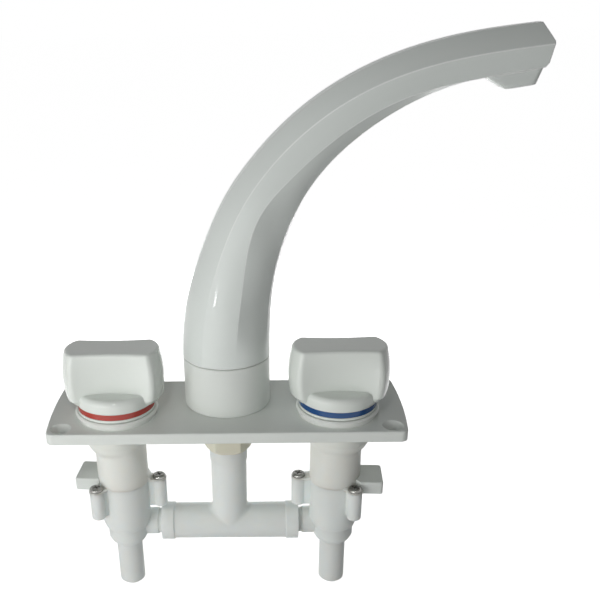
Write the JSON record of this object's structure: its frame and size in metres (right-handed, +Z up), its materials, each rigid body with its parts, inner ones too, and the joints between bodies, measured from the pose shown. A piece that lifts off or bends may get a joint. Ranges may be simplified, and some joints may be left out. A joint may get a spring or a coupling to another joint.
{
  "type": "deck mixer tap",
  "caption": "Deck-mounted plastic mixer tap: swan-neck swivel spout, red and blue quarter-turn handles on a rectangular plate, tee pipe and valves with switch pods below.",
  "frame": {"origin": "centre of the base plate's underside, on the deck surface, which is the centre of the deck screw rectangle", "axes": "+X along the plate towards the cold valve and the outlet, +Y towards the back, +Z up out of the deck"},
  "size_m": [0.2474, 0.064, 0.3038],
  "materials": {
    "gloss_white": "moulded white plastic, semi-gloss",
    "spout_white": "moulded white plastic, semi-gloss",
    "knob_white": "moulded white plastic, gloss",
    "bezel_white": "moulded white plastic, gloss",
    "bonnet_white": "moulded white plastic, satin",
    "valve_white": "milky white acetal, satin",
    "pipe_white": "milky white acetal, satin",
    "switch_white": "moulded white plastic, satin",
    "ivory_nylon": "ivory nylon, satin",
    "bearing_nylon": "natural nylon",
    "spindle_acetal": "natural acetal",
    "disc_ceramic": "lapped white alumina",
    "ring_red": "moulded red plastic",
    "ring_blue": "moulded blue plastic",
    "seal_rubber": "black seal rubber",
    "screw_steel": "dull stainless steel",
    "spring_steel": "stainless spring steel",
    "switch_black": "black switch housing",
    "terminal_brass": "tinned brass"
  },
  "bodies": {
    "mixer_base": {"base_plate": "gloss_white", "spout_pedestal": "gloss_white", "post_seals": "seal_rubber", "swivel_washer": "bearing_nylon", "spout_clip": "spring_steel", "centre_backnut": "ivory_nylon", "backnut_washer": "bearing_nylon", "stem_seal": "seal_rubber", "tee_pipe": "pipe_white", "hot_ring_nut": "bezel_white", "hot_bonnet": "bonnet_white", "hot_bonnet_seal": "seal_rubber", "hot_guide_bush": "bearing_nylon", "hot_fixed_disc": "disc_ceramic", "hot_disc_seal": "seal_rubber", "hot_valve_body": "valve_white", "hot_spigot_seal": "seal_rubber", "hot_clamp_screws": "screw_steel", "hot_switch_case": "switch_white", "hot_switch_lid": "switch_white", "hot_microswitch": "switch_black", "hot_switch_terminals": "terminal_brass", "cold_ring_nut": "bezel_white", "cold_bonnet": "bonnet_white", "cold_bonnet_seal": "seal_rubber", "cold_guide_bush": "bearing_nylon", "cold_fixed_disc": "disc_ceramic", "cold_disc_seal": "seal_rubber", "cold_valve_body": "valve_white", "cold_spigot_seal": "seal_rubber", "cold_clamp_screws": "screw_steel", "cold_switch_case": "switch_white", "cold_switch_lid": "switch_white", "cold_microswitch": "switch_black", "cold_switch_terminals": "terminal_brass"},
    "spout": {"spout_body": "spout_white", "spout_bush": "bearing_nylon", "outlet_nozzle": "spout_white", "stream_straightener": "bearing_nylon"},
    "hot_handle": {"hot_knob": "knob_white", "hot_colour_ring": "ring_red", "hot_knob_base": "knob_white", "hot_spindle": "spindle_acetal", "hot_spindle_clip": "spring_steel", "hot_spindle_seals": "seal_rubber", "hot_switch_cam": "spindle_acetal", "hot_moving_disc": "disc_ceramic"},
    "hot_plunger": {"hot_switch_plunger": "spindle_acetal"},
    "cold_handle": {"cold_knob": "knob_white", "cold_colour_ring": "ring_blue", "cold_knob_base": "knob_white", "cold_spindle": "spindle_acetal", "cold_spindle_clip": "spring_steel", "cold_spindle_seals": "seal_rubber", "cold_switch_cam": "spindle_acetal", "cold_moving_disc": "disc_ceramic"},
    "cold_plunger": {"cold_switch_plunger": "spindle_acetal"}
  },
  "joints": [
    {"name": "spout_swivel", "type": "hinge", "parent": "mixer_base", "child": "spout", "pos_m": [0, 0.008, 0.0342], "axis": [0, 0, 1], "continuous": true},
    {"name": "hot_turn", "type": "hinge", "parent": "mixer_base", "child": "hot_handle", "pos_m": [-0.06, -0.0065, 0.0158], "axis": [0, 0, 1], "range_deg": [0, 90]},
    {"name": "hot_switch_push", "type": "slide", "parent": "mixer_base", "child": "hot_plunger", "axis": [-0.9962, 0.0872, 0], "range_m": [0, 0.00122]},
    {"name": "cold_turn", "type": "hinge", "parent": "mixer_base", "child": "cold_handle", "pos_m": [0.06, -0.0065, 0.0158], "axis": [0, 0, 1], "range_deg": [-90, 0]},
    {"name": "cold_switch_push", "type": "slide", "parent": "mixer_base", "child": "cold_plunger", "axis": [0.9986, -0.0523, 0], "range_m": [0, 0.00122]}
  ],
  "couplings": [
    {"joint": "hot_switch_push", "follows": "hot_turn", "m_per_rad": 0.000764},
    {"joint": "cold_switch_push", "follows": "cold_turn", "m_per_rad": -0.000764}
  ]
}
